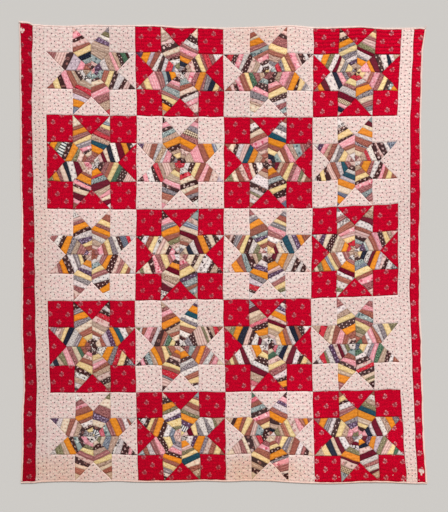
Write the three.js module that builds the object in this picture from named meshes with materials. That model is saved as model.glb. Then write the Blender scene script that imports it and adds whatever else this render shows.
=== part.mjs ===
// A spiderweb quilt, lying flat and face up: twenty pieced blocks, two strips down each side,
// a narrow binding all round and one whole backing. Millimetres, +Z up, the quilt's top edge towards +Y.
import * as THREE from "three";

// Heights and widths
const BACKING_THICKNESS = 1.8; // the backing cloth with its thin batting
const PIECE_GAP = 0.3; // between pieces that are sewn together
const CREST = 2.2; // thickness of the pieced top midway between two quilting lines
const VALLEY = 1.4; // and on a quilting line
const SEAM = 1.2; // and at a panel's own edge
const SEAM_DIP = 12; // how far in from its edge a panel is drawn down by the seam
const BINDING_WIDTH = 8;
const BINDING_HEIGHT = 4.8;
const QUILTING_LINES = 24; // lines of quilting across each block, about 18 mm apart

// The seam crossings, in mm from the middle of the quilt: one row for each seam that runs across, top to
// bottom, with the outline as the first and the last. Columns of x and y: left edge, left red and pink strip,
// the five upright seams of the blocks, right pink and red strip, right edge.
const SEAMS_ACROSS = [
  {
    seam: "top edge",
    x: [-981, -913, -848, -424, 1, 435, 858, 917, 974],
    y: [1110, 1094, 1090, 1090, 1078, 1081, 1077, 1078, 1077],
  },
  {
    seam: "rows 1 and 2",
    x: [-974, -918, -850, -415, 4, 429, 835, 897, 950],
    y: [662, 662, 662, 654, 648, 648, 655, 655, 655],
  },
  {
    seam: "rows 2 and 3",
    x: [-968, -909, -844, -417, 3, 427, 839, 897, 950],
    y: [209, 209, 209, 205, 210, 211, 232, 232, 232],
  },
  {
    seam: "rows 3 and 4",
    x: [-968, -902, -842, -422, 0, 422, 839, 896, 946],
    y: [-233, -233, -233, -232, -226, -222, -207, -207, -207],
  },
  {
    seam: "rows 4 and 5",
    x: [-960, -895, -832, -419, 10, 429, 851, 911, 959],
    y: [-675, -675, -675, -672, -669, -668, -660, -660, -660],
  },
  {
    seam: "bottom edge",
    x: [-971, -901, -836, -408, 13, 439, 881, 933, 979],
    y: [-1109, -1107, -1102, -1103, -1101, -1110, -1109, -1111, -1111],
  },
];

// How far the outline bows out at a quarter, a half and three quarters of the way between two crossings:
// a row for each stretch, from left to right or from top to bottom.
const BOWS = {
  top: [
    { stretch: "left red strip", out: [2, 5, 6] },
    { stretch: "left pink strip", out: [1, 1, 0] },
    { stretch: "block 1", out: [-3, 2, -1] },
    { stretch: "block 2", out: [3, -1, 1] },
    { stretch: "block 3", out: [2, 5, 9] },
    { stretch: "block 4", out: [2, 6, 0] },
    { stretch: "right pink strip", out: [0, 0, 0] },
    { stretch: "right red strip", out: [0, 1, 0] },
  ],
  bottom: [
    { stretch: "left red strip", out: [0, 0, 1] },
    { stretch: "left pink strip", out: [-1, -1, 0] },
    { stretch: "block 1", out: [-2, 0, -4] },
    { stretch: "block 2", out: [1, 0, -4] },
    { stretch: "block 3", out: [-6, -7, -2] },
    { stretch: "block 4", out: [1, -4, -4] },
    { stretch: "right pink strip", out: [0, 0, 0] },
    { stretch: "right red strip", out: [0, -1, 0] },
  ],
  left: [
    { stretch: "row 1", out: [-1, 1, 0] },
    { stretch: "row 2", out: [2, 3, 4] },
    { stretch: "row 3", out: [1, 0, 0] },
    { stretch: "row 4", out: [4, 2, -2] },
    { stretch: "row 5", out: [4, 0, -1] },
  ],
  right: [
    { stretch: "row 1", out: [-8, -6, -2] },
    { stretch: "row 2", out: [-1, 2, 0] },
    { stretch: "row 3", out: [-3, -3, 0] },
    { stretch: "row 4", out: [-2, 1, -1] },
    { stretch: "row 5", out: [-3, -4, -2] },
  ],
};

// The binding's mitred corner stands up as a small ear at the top right.
const CORNER_EAR = { out: 2, up: 13, width: 2 };

const ROWS = SEAMS_ACROSS.length - 1;
const COLUMNS = SEAMS_ACROSS[0].x.length - 1;
const FIRST_BLOCK_COLUMN = 2;
const BLOCKS_ACROSS = 4;
const QUARTERS = [0, 0.25, 0.5, 0.75, 1]; // of a cell, where the outline's bows are given
const RIB_STEPS = 2 * QUILTING_LINES; // down one block, from a quilting line to a crest and on
const RIM = BINDING_WIDTH + PIECE_GAP; // from the outline to the pieces inside the binding
const TOP_Z = BACKING_THICKNESS + PIECE_GAP; // underside of the pieced top

const COLOURS = {
  red: 0xc60026,
  pink: 0xe8d2c8,
  binding: 0xf0d6cc,
  backing: 0xe6dccb,
};

function cloth(colour) {
  return new THREE.MeshStandardMaterial({
    color: colour,
    roughness: 0.95,
    metalness: 0,
  });
}

// The outline's bow at a share of the way along one stretch, straight between the quarters.
function bowAt(row, share) {
  const outs = [0, ...row.out, 0];
  const step = Math.min(Math.floor(share * 4), 3);
  return THREE.MathUtils.lerp(outs[step], outs[step + 1], share * 4 - step);
}

// A seam crossing as a point in the plane of the quilt.
function crossing(column, row) {
  return new THREE.Vector2(
    SEAMS_ACROSS[row].x[column],
    SEAMS_ACROSS[row].y[column],
  );
}

// The point at (across, down), both from 0 to 1, between four crossings joined by straight lines.
function straightPoint(column, row, across, down) {
  const upper = crossing(column, row).lerp(crossing(column + 1, row), across);
  const lower = crossing(column, row + 1).lerp(
    crossing(column + 1, row + 1),
    across,
  );
  return upper.lerp(lower, down);
}

// The same point with the outline's bow, which holds over the fifth of the cell next to the outline and fades
// out over the rest.
function cellPoint(column, row, across, down) {
  const point = straightPoint(column, row, across, down);
  const fade = (inwards) => Math.min(1, (1 - inwards) / 0.8);
  if (row === 0) point.y += bowAt(BOWS.top[column], across) * fade(down);
  if (row === ROWS - 1)
    point.y -= bowAt(BOWS.bottom[column], across) * fade(1 - down);
  if (column === 0) point.x -= bowAt(BOWS.left[row], down) * fade(across);
  if (column === COLUMNS - 1)
    point.x += bowAt(BOWS.right[row], down) * fade(1 - across);
  return point;
}

// How far a piece in this cell keeps from each side of the cell: half a seam's gap, or the binding.
function insets(column, row) {
  return {
    left: column === 0 ? RIM : PIECE_GAP / 2,
    right: column === COLUMNS - 1 ? RIM : PIECE_GAP / 2,
    top: row === 0 ? RIM : PIECE_GAP / 2,
    bottom: row === ROWS - 1 ? RIM : PIECE_GAP / 2,
  };
}

// The same point, kept at least the insets clear of the cell's sides. A piece that runs on past the cell's seams
// keeps its full length there.
function panelPoint(column, row, across, down, runsOn) {
  const gap = insets(column, row);
  const top = runsOn && row > 0 ? 0 : gap.top;
  const bottom = runsOn && row < ROWS - 1 ? 0 : gap.bottom;
  const { clamp } = THREE.MathUtils;
  const width = straightPoint(column, row, 0, down).distanceTo(
    straightPoint(column, row, 1, down),
  );
  const u = clamp(across, gap.left / width, 1 - gap.right / width);
  const height = straightPoint(column, row, u, 0).distanceTo(
    straightPoint(column, row, u, 1),
  );
  const v = clamp(down, top / height, 1 - bottom / height);
  return cellPoint(column, row, u, v);
}

// Adds the triangles between two lines of points, which may differ in number. Each point's at is its share of
// the way along, and each step goes to the line whose next stretch has the nearer middle. With both lines from
// left to right and the first one above, the triangles face the viewer.
function stitch(triangles, first, second) {
  const middleOfNext = (line, i) =>
    i < line.length - 1 ? (line[i].at + line[i + 1].at) / 2 : Infinity;
  let i = 0;
  let j = 0;
  while (i < first.length - 1 || j < second.length - 1) {
    if (middleOfNext(first, i) <= middleOfNext(second, j)) {
      triangles.push(first[i], second[j], first[i + 1]);
      i += 1;
    } else {
      triangles.push(first[i], second[j], second[j + 1]);
      j += 1;
    }
  }
}

// A closed solid between an upper and a lower face. Each face is a list of rows, from +Y to -Y, and each row a
// list of points, from left to right.
function solidBetween(upper, lower) {
  const triangles = [];
  const side = (rows, pick) =>
    rows.map((row) => ({ at: row.down, point: pick(row.points).point }));
  const firstOf = (points) => points[0];
  const lastOf = (points) => points[points.length - 1];
  for (let i = 0; i < upper.length - 1; i += 1)
    stitch(triangles, upper[i].points, upper[i + 1].points);
  for (let i = 0; i < lower.length - 1; i += 1)
    stitch(triangles, lower[i + 1].points, lower[i].points);
  stitch(triangles, side(upper, firstOf), side(lower, firstOf));
  stitch(triangles, side(lower, lastOf), side(upper, lastOf));
  stitch(triangles, lower[0].points, upper[0].points);
  stitch(triangles, lastOf(upper).points, lastOf(lower).points);
  return geometryOf(triangles.map((corner) => corner.point));
}

function geometryOf(points) {
  const geometry = new THREE.BufferGeometry().setFromPoints(points);
  geometry.computeVertexNormals();
  return geometry;
}

// One row of points across a panel, at the given shares, with the height that thickness gives each of them.
function panelRow(place, shares, down, at, thickness) {
  const points = shares.map((share) => {
    const flat = place(share, down);
    return {
      at: share,
      point: new THREE.Vector3(flat.x, flat.y, TOP_Z + thickness(share)),
    };
  });
  return { down: at, points };
}

// The rows of points down one cell, as steps of half a rib. Next to the outline one step is left out, because
// the binding takes its place.
function ribSteps(row) {
  const steps = [];
  for (let i = 0; i <= RIB_STEPS; i += 1) {
    const underBinding =
      (row === 0 && i === 1) || (row === ROWS - 1 && i === RIB_STEPS - 1);
    if (!underBinding) steps.push(i);
  }
  return steps;
}

function onOutline(row, down) {
  return (row === 0 && down === 0) || (row === ROWS - 1 && down === 1);
}

// A pieced block: its top is drawn down along its four seams and along each line of quilting.
function blockGeometry(column, row) {
  const width = crossing(column, row).distanceTo(crossing(column + 1, row));
  const dip = SEAM_DIP / width;
  const place = (across, down) => panelPoint(column, row, across, down, false);
  const upper = ribSteps(row).map((i) => {
    const down = i / RIB_STEPS;
    const middle = i % 2 === 0 ? VALLEY : CREST;
    const onSeam = (share) =>
      share === 0 || share === 1 || down === 0 || down === 1;
    const thickness = (share) => (onSeam(share) ? SEAM : middle);
    const shares = onOutline(row, down)
      ? [0, dip, 0.25, 0.5, 0.75, 1 - dip, 1]
      : [0, dip, 1 - dip, 1];
    return panelRow(place, shares, down, down, thickness);
  });
  const lower = [0, 1].map((down) => {
    const shares = onOutline(row, down) ? QUARTERS : [0, 1];
    return panelRow(place, shares, down, down, () => 0);
  });
  return solidBetween(upper, lower);
}

// A side strip: one length of cloth past all five rows, with the blocks' quilting carried across it.
function stripGeometry(column) {
  const upper = [];
  const lower = [];
  const addRow = (rows, row, down, thickness) => {
    const place = (across, share) => panelPoint(column, row, across, share, true);
    const shares = onOutline(row, down) ? QUARTERS : [0, 1];
    rows.push(panelRow(place, shares, down, row + down, () => thickness));
  };
  for (let row = 0; row < ROWS; row += 1) {
    const runsOn = (share) => row > 0 && share === 0; // already there as the end of the row above
    for (const i of ribSteps(row)) {
      const down = i / RIB_STEPS;
      const thickness = i % 2 === 0 ? VALLEY : CREST;
      if (!runsOn(down))
        addRow(upper, row, down, onOutline(row, down) ? SEAM : thickness);
    }
    for (const down of QUARTERS)
      if (!runsOn(down)) addRow(lower, row, down, 0);
  }
  return solidBetween(upper, lower);
}

// One side of the outline, from left to right or from top to bottom, at each quarter of a cell.
function outline(side) {
  const points = [];
  const cells = side === "top" || side === "bottom" ? COLUMNS : ROWS;
  for (let cell = 0; cell < cells; cell += 1)
    for (const share of cell === 0 ? QUARTERS : QUARTERS.slice(1)) {
      if (side === "top") points.push(cellPoint(cell, 0, share, 0));
      if (side === "bottom") points.push(cellPoint(cell, ROWS - 1, share, 1));
      if (side === "left") points.push(cellPoint(0, cell, 0, share));
      if (side === "right") points.push(cellPoint(COLUMNS - 1, cell, 1, share));
    }
  return points;
}

// The whole backing: a flat sheet inside the binding, under every panel and strip.
function backingGeometry() {
  const corner = (column, row, across, down) =>
    panelPoint(column, row, across, down, false);
  const between = (side, dx, dy) =>
    outline(side)
      .slice(1, -1)
      .map((p) => new THREE.Vector2(p.x + dx, p.y + dy));
  const shape = new THREE.Shape([
    corner(0, 0, 0, 0),
    ...between("top", 0, -RIM),
    corner(COLUMNS - 1, 0, 1, 0),
    ...between("right", -RIM, 0),
    corner(COLUMNS - 1, ROWS - 1, 1, 1),
    ...between("bottom", 0, RIM).reverse(),
    corner(0, ROWS - 1, 0, 1),
    ...between("left", RIM, 0).reverse(),
  ]);
  return new THREE.ExtrudeGeometry(shape, {
    depth: BACKING_THICKNESS,
    bevelEnabled: false,
  });
}

// The binding's section, as shares of its width from the outline inwards and of its height.
const BINDING_SECTION = [
  { inwards: 0, up: 0 },
  { inwards: 1, up: 0 },
  { inwards: 1, up: 0.75 },
  { inwards: 0.75, up: 1 },
  { inwards: 0.3, up: 1 },
  { inwards: 0, up: 0.6 },
];

// A length of binding through its stations, each with its outline point, its way inwards and its width.
function bindingGeometry(stations) {
  const rings = stations.map(({ point, inwards, width }) =>
    BINDING_SECTION.map(
      (corner) =>
        new THREE.Vector3(
          point.x + inwards.x * corner.inwards * width,
          point.y + inwards.y * corner.inwards * width,
          corner.up * BINDING_HEIGHT,
        ),
    ),
  );
  const corners = [];
  for (let i = 0; i < rings.length - 1; i += 1)
    for (let k = 0; k < BINDING_SECTION.length; k += 1) {
      const next = (k + 1) % BINDING_SECTION.length;
      const [near, far] = [rings[i], rings[i + 1]];
      corners.push(near[k], far[next], near[next], near[k], far[k], far[next]);
    }
  const last = rings[rings.length - 1];
  for (let k = 1; k < BINDING_SECTION.length - 1; k += 1) {
    corners.push(rings[0][0], rings[0][k], rings[0][k + 1]);
    corners.push(last[0], last[k + 1], last[k]);
  }
  return geometryOf(corners);
}

// The top and bottom lengths run the whole width, and the side lengths butt against them.
function bindingStations(side) {
  const inwards = {
    top: new THREE.Vector2(0, -1),
    right: new THREE.Vector2(-1, 0),
    bottom: new THREE.Vector2(0, 1),
    left: new THREE.Vector2(1, 0),
  }[side];
  const stations = outline(side).map((point) => ({
    point,
    inwards,
    width: BINDING_WIDTH,
  }));
  if (side === "left" || side === "right") {
    const column = side === "left" ? 0 : COLUMNS - 1;
    const across = side === "left" ? 0 : 1;
    const upper = stations[0].point;
    const lower = stations[stations.length - 1].point;
    const upperPanel = panelPoint(column, 0, across, 0, false);
    const lowerPanel = panelPoint(column, ROWS - 1, across, 1, false);
    upper.y = Math.min(upper.y - RIM, upperPanel.y);
    lower.y = Math.max(lower.y + RIM, lowerPanel.y);
  }
  if (side === "top") {
    const foot = stations[stations.length - 1].point;
    foot.x -= CORNER_EAR.width;
    const across = CORNER_EAR.width + CORNER_EAR.out;
    const tip = new THREE.Vector2(foot.x + across, foot.y + CORNER_EAR.up);
    stations.push({ point: tip, inwards, width: CORNER_EAR.width });
  }
  // Clockwise seen from above, so that every section faces out.
  if (side === "bottom" || side === "left") stations.reverse();
  return stations;
}

function add(group, name, geometry, colour) {
  const mesh = new THREE.Mesh(geometry, cloth(colour));
  mesh.name = name;
  group.add(mesh);
}

const quilt = new THREE.Group();
add(quilt, "backing", backingGeometry(), COLOURS.backing);

for (let row = 0; row < ROWS; row += 1)
  for (let block = 0; block < BLOCKS_ACROSS; block += 1)
    add(
      quilt,
      `block_r${row + 1}_c${block + 1}`,
      blockGeometry(FIRST_BLOCK_COLUMN + block, row),
      (row + block) % 2 === 0 ? COLOURS.pink : COLOURS.red,
    );

const STRIPS = [
  { name: "strip_left_red", column: 0, colour: COLOURS.red },
  { name: "strip_left_pink", column: 1, colour: COLOURS.pink },
  { name: "strip_right_pink", column: COLUMNS - 2, colour: COLOURS.pink },
  { name: "strip_right_red", column: COLUMNS - 1, colour: COLOURS.red },
];
for (const { name, column, colour } of STRIPS)
  add(quilt, name, stripGeometry(column), colour);

for (const side of ["top", "right", "bottom", "left"])
  add(
    quilt,
    `binding_${side}`,
    bindingGeometry(bindingStations(side)),
    COLOURS.binding,
  );

// The quilt's frame has its origin below the middle of its box.
const box = new THREE.Box3().setFromObject(quilt);
const middle = box.getCenter(new THREE.Vector3());
quilt.position.set(-middle.x, -middle.y, 0);

export default quilt;
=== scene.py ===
"""A spiderweb quilt lying flat and face up, seen from straight above.

Sizes are in metres, and the quilt's top edge is towards +Y.
"""

import math

import bpy
import numpy as np
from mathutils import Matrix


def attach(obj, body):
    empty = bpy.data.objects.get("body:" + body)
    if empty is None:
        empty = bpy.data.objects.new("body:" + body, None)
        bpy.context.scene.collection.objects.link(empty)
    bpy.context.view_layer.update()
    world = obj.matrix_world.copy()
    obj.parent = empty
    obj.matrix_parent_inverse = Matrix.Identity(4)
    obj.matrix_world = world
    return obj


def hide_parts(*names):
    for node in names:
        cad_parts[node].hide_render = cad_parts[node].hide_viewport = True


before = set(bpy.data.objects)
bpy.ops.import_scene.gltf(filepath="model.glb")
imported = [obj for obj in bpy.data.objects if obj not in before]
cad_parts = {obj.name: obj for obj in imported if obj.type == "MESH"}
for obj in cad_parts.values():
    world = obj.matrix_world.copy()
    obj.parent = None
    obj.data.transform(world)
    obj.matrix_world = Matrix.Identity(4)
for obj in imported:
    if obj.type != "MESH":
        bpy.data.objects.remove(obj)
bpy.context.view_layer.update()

HALF_WIDTH, HALF_HEIGHT = 0.98, 1.11  # of the whole quilt
TOP_Z = 0.0021  # underside of the pieced top
VALLEY = 0.0012  # height of the top over that on a line of quilting
CREST = 0.0029  # and midway between two lines
RIBS = 24  # lines of quilting down each block
CELL = 0.0047  # largest cell of the cloth's mesh
RIM_WIDTH = 0.0032  # how far in a seam draws a patch down
RIM_DROP = 0.0011
RIM_STEP = 0.0012
SEAM_LINE = 0.0056  # width of the painted seam shade on the red and the strings, or of the paler line along a seam on the pink
BINDING_WIDTH = 0.0075
BINDING_TOP = 0.0048
TUCK = 0.0032  # how far the top's outer edges run on inside the binding's fold
CLOTH = 0.0005  # thickness of one layer of cloth
BACKING_INSET = 0.0045  # how far inside the binding's outer edge the backing ends
BACKING_TOP = 0.0018  # upper side of the backing and its batting
DRAWN_UP = 0.0009  # how far the lines of quilting draw the backing up
MOST_DRAWN_UP = 0.0012

ROWS, COLUMNS = 5, 4
TIP = 1 - math.sqrt(0.5)  # a star's tips, as a share of the block's side, from its corners
NOTCH = 0.5 - TIP  # and the notch between two tips, from the side
SLANT = 0.011  # how far the strings' seams lean, as a share of a diamond's length
SEED = 1889


def rng(*key):
    """A random generator of its own for each place that draws numbers."""
    return np.random.default_rng([SEED, *key])


def linear(colour):
    """Screen red, green and blue from 0 to 255 as linear light."""
    c = np.asarray(colour, float) / 255
    return np.where(c <= 0.04045, c / 12.92, ((c + 0.055) / 1.055) ** 2.4)


def smoothstep(low, high, value):
    t = np.clip((value - low) / (high - low), 0, 1)
    return t * t * (3 - 2 * t)


def waves(key, count, shortest, longest, height):
    """A slow unevenness over the plane: waves of random direction, length and phase, added up."""
    r = rng(key)
    angle = r.uniform(0, math.pi, count)
    length = np.exp(r.uniform(math.log(shortest), math.log(longest), count))
    phase = r.uniform(0, 2 * math.pi, count)
    k = 2 * math.pi / length

    def value(x, y):
        total = np.zeros_like(np.asarray(x, float))
        for a, n, p in zip(angle, k, phase):
            total = total + np.sin((x * math.cos(a) + y * math.sin(a)) * n + p)
        return total * height / math.sqrt(count / 2)

    return value


unevenness = waves(1, 9, 0.05, 0.35, 0.00022)
puckers = waves(2, 8, 0.022, 0.05, 0.00011)
shading = waves(3, 7, 0.12, 0.7, 0.02)
drift_x = waves(4, 9, 0.07, 0.45, 0.0011)
drift_y = waves(5, 9, 0.07, 0.45, 0.0011)


def drifted(flat):
    """Points of the top moved a little, as hand-sewn seams wander. The quilt's edge stays in place."""
    x, y = flat[:, 0], flat[:, 1]
    from_edge = np.minimum(HALF_WIDTH - np.abs(x), HALF_HEIGHT - np.abs(y))
    inside = smoothstep(0.015, 0.05, from_edge)
    return flat + np.column_stack([drift_x(x, y), drift_y(x, y)]) * inside[:, None]


# The layout, read off the flat undersides of the frame's solids


def underside(node):
    points = np.array([v.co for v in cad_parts[node].data.vertices])
    low = points[:, 2].min() + 1e-5
    return np.unique(np.round(points[points[:, 2] < low][:, :2], 6), axis=0)


def rows_of(points, gap):
    """Points grouped into rows, from +Y to -Y, each sorted from left to right."""
    order = points[np.argsort(-points[:, 1])]
    cuts = np.nonzero(np.diff(order[:, 1]) < -gap)[0] + 1
    return [row[np.argsort(row[:, 0])] for row in np.split(order, cuts)]


def curve(points):
    """A smooth curve through points at even shares, as a function of the share from 0 to 1."""
    points = np.asarray(points, float)
    n = len(points) - 1
    slopes = np.gradient(points, axis=0) if n > 1 else np.repeat(points[1:] - points[:1], 2, axis=0)

    def at(share):
        s = np.clip(np.asarray(share, float), 0, 1) * n
        i = np.clip(np.floor(s).astype(int), 0, n - 1)
        t = (s - i)[..., None]
        h1 = 2 * t**3 - 3 * t**2 + 1
        h2 = t**3 - 2 * t**2 + t
        h3 = -2 * t**3 + 3 * t**2
        h4 = t**3 - t**2
        return h1 * points[i] + h2 * slopes[i] + h3 * points[i + 1] + h4 * slopes[i + 1]

    return at


class Panel:
    """A four-sided part of the top. at(u, v) is its point in the plane, u to the right and v down."""

    def __init__(self, top, bottom, left, right, first_rib, ribs, corners=None):
        self.top, self.bottom = curve(top), curve(bottom)
        self.left, self.right = curve(left), curve(right)
        if corners is None:
            corners = top[0], top[-1], bottom[0], bottom[-1]
        self.corners = [np.asarray(p, float) for p in corners]
        self.first_rib, self.ribs = first_rib, ribs

    def at(self, u, v):
        u, v = np.broadcast_arrays(np.asarray(u, float), np.asarray(v, float))
        a, b = u[..., None], v[..., None]
        tl, tr, bl, br = self.corners
        straight = (1 - a) * (1 - b) * tl + a * (1 - b) * tr + (1 - a) * b * bl + a * b * br
        across = (1 - b) * self.top(u) + b * self.bottom(u)
        down = (1 - a) * self.left(v) + a * self.right(v)
        return across + down - straight

    def between(self, one, other):
        """Distance between two points given in u and v."""
        return float(np.hypot(*(self.at(*one) - self.at(*other))))


def block_panel(row, column):
    rows = rows_of(underside(f"block_r{row}_c{column}"), 0.2)
    top, bottom = rows[0], rows[-1]
    if row == 1:
        top = top + np.array([0, TUCK])
    if row == ROWS:
        bottom = bottom - np.array([0, TUCK])
    left, right = [top[0], bottom[0]], [top[-1], bottom[-1]]
    return Panel(top, bottom, left, right, (row - 1) * RIBS, RIBS)


def strip_panel(node):
    rows = rows_of(underside(node), 0.05)
    rows[0][:, 1] += TUCK
    rows[-1][:, 1] -= TUCK
    for row in rows:
        if node == "strip_left_red":
            row[0, 0] -= TUCK
        if node == "strip_right_red":
            row[-1, 0] += TUCK
    left = [row[0] for row in rows]
    right = [row[-1] for row in rows]
    return Panel(rows[0], rows[-1], left, right, 0, RIBS * ROWS)


# Wear, stains and light

PIXEL = 0.0048  # what one pixel of the photograph shows of the quilt
MIDDLE_PX, MIDDLE_PY = 223.2, 252.3  # the quilt's middle there
MIDDLE_X, MIDDLE_Y = 0.001, 0.0005  # and in the frame


def photo_point(px, py):
    """A point of the quilt from its place in the photograph."""
    return (px - MIDDLE_PX) * PIXEL + MIDDLE_X, (MIDDLE_PY - py) * PIXEL + MIDDLE_Y


WORN_SPOTS = [
    # place in the photograph across and down, reach across and down, strength
    (21.2, 29.6, 0.0070, 0.0110, 1.0),
    (23.6, 30.0, 0.0064, 0.0095, 1.0),
    (22.2, 32.4, 0.0060, 0.0060, 1.0),
    (22.0, 76.0, 0.005, 0.006, 0.9),
    (20.6, 134.0, 0.0034, 0.0060, 0.9),
    (21.0, 140.5, 0.0030, 0.0095, 0.9),
    (21.4, 149.5, 0.0034, 0.0055, 0.9),
    (25.0, 248.0, 0.006, 0.005, 0.8),
    (23.0, 266.0, 0.005, 0.006, 0.9),
    (421.0, 35.7, 0.006, 0.006, 0.8),
    (417.0, 361.0, 0.004, 0.004, 0.7),
    (420.4, 470.6, 0.0125, 0.0125, 0.86),
    (423.0, 471.4, 0.0090, 0.0130, 0.86),
    (421.4, 474.2, 0.0070, 0.0090, 0.9),
    (325.0, 472.0, 0.005, 0.006, 0.8),
    (339.0, 477.0, 0.006, 0.005, 0.8),
    (314.0, 477.5, 0.012, 0.010, 0.9),
    (393.0, 475.0, 0.005, 0.005, 0.8),
    (403.7, 481.0, 0.006, 0.006, 0.8),
    (419.0, 480.0, 0.006, 0.006, 0.8),
]
STAINS = [
    # as above
    (262.0, 38.0, 0.20, 0.07, 0.35),
    (60.0, 470.0, 0.16, 0.08, 0.30),
    (185.0, 475.0, 0.2, 0.06, 0.3),
    (250.0, 470.0, 0.22, 0.07, 0.55),
    (370.0, 478.0, 0.2, 0.05, 0.3),
    (40.0, 250.0, 0.06, 0.9, 0.2),
]


def spots(table, x, y):
    total = np.zeros_like(x)
    for px, py, across, down, strength in table:
        cx, cy = photo_point(px, py)
        far = np.hypot((x - cx) / across, (y - cy) / down)
        total = np.maximum(total, strength * (1 - smoothstep(0.45, 1.35, far)))
    return total


def painted_falloff_at(x, y):
    """Painted shade: how much darker the cloth is made towards the left side and the lower left, where less
    light falls.
    """
    side = smoothstep(-0.40, -0.95, x)
    low = smoothstep(0.5, -1.1, y) * smoothstep(0.7, -0.8, x)
    return 1 - 0.05 * side - 0.12 * low


def ridge_light(x, y, swell, depth):
    """Brighter ridges between the lines of quilting, plainest at the top right, where all is brighter."""
    bright = smoothstep(0.1, 0.95, x) * smoothstep(0.2, 1.05, y)
    ridges = 0.06 + depth * (0.4 + 0.6 * smoothstep(-0.2, 0.7, x)) * smoothstep(0.72, 0.98, y)
    return (1 + 0.14 * bright) * (1 + ridges * (swell - 0.68))


def stain_at(x, y):
    foot = smoothstep(-0.90, -1.10, y)
    return np.clip(spots(STAINS, x, y) + 0.36 * foot, 0, 1)


# Cloth


def spaced(length):
    """Places along a length: close together at both ends, where the seams draw the cloth down."""
    if length < 2.6 * RIM_STEP:
        return np.array([0, length / 2, length])
    if length < 5.2 * RIM_STEP:
        return np.array([0, RIM_STEP, length / 2, length - RIM_STEP, length])
    start = np.array([0, RIM_STEP])
    inner = 2.5 * RIM_STEP
    count = max(1, math.ceil((length - 2 * inner) / CELL))
    middle = np.linspace(inner, length - inner, count + 1)
    return np.concatenate([start, middle, length - start[::-1]])


def zip_rows(first, second):
    """Faces between two rows of point numbers, which may differ in length."""
    a, b = len(first), len(second)
    if a == b:
        return [(first[i], second[i], second[i + 1], first[i + 1]) for i in range(a - 1)]
    faces = []
    i = j = 0
    while i < a - 1 or j < b - 1:
        ahead_a = (i + 0.5) / (a - 1) if i < a - 1 else 2
        ahead_b = (j + 0.5) / (b - 1) if j < b - 1 else 2
        if ahead_a <= ahead_b:
            faces.append((first[i], second[j], first[i + 1]))
            i += 1
        else:
            faces.append((first[i], second[j], second[j + 1]))
            j += 1
    return faces


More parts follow.
